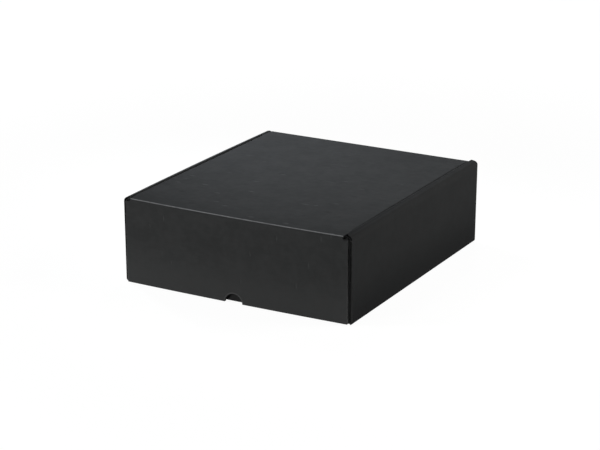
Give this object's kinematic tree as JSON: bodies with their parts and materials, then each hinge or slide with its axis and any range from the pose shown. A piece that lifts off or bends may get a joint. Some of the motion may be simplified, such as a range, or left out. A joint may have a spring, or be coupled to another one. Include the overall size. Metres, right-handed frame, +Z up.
{
  "type": "presentation box",
  "caption": "Black corrugated presentation box: folded tray with rolled side walls, hinged lid with tucked dust flaps, and a full-depth front flap with a half-round thumb notch.",
  "frame": {"origin": "on the surface that the box stands on, under the middle of the closed box", "axes": "+X to the right seen from the front, +Y from the front flap to the rear wall, +Z up"},
  "size_m": [0.32, 0.35, 0.1114],
  "materials": {
    "black_board": "matte"
  },
  "bodies": {
    "tray": {"tray": "black_board"},
    "lid": {"lid": "black_board"},
    "front_flap": {"front_flap": "black_board"}
  },
  "joints": [
    {"name": "lid_hinge", "type": "hinge", "parent": "tray", "child": "lid", "pos_m": [0, 0.17418, 0.10878], "axis": [-1, 0, 0], "range_deg": [0, 170]},
    {"name": "front_flap_hinge", "type": "hinge", "parent": "lid", "child": "front_flap", "pos_m": [0, -0.17418, 0.10878], "axis": [-1, 0, 0], "range_deg": [0, 90]}
  ]
}
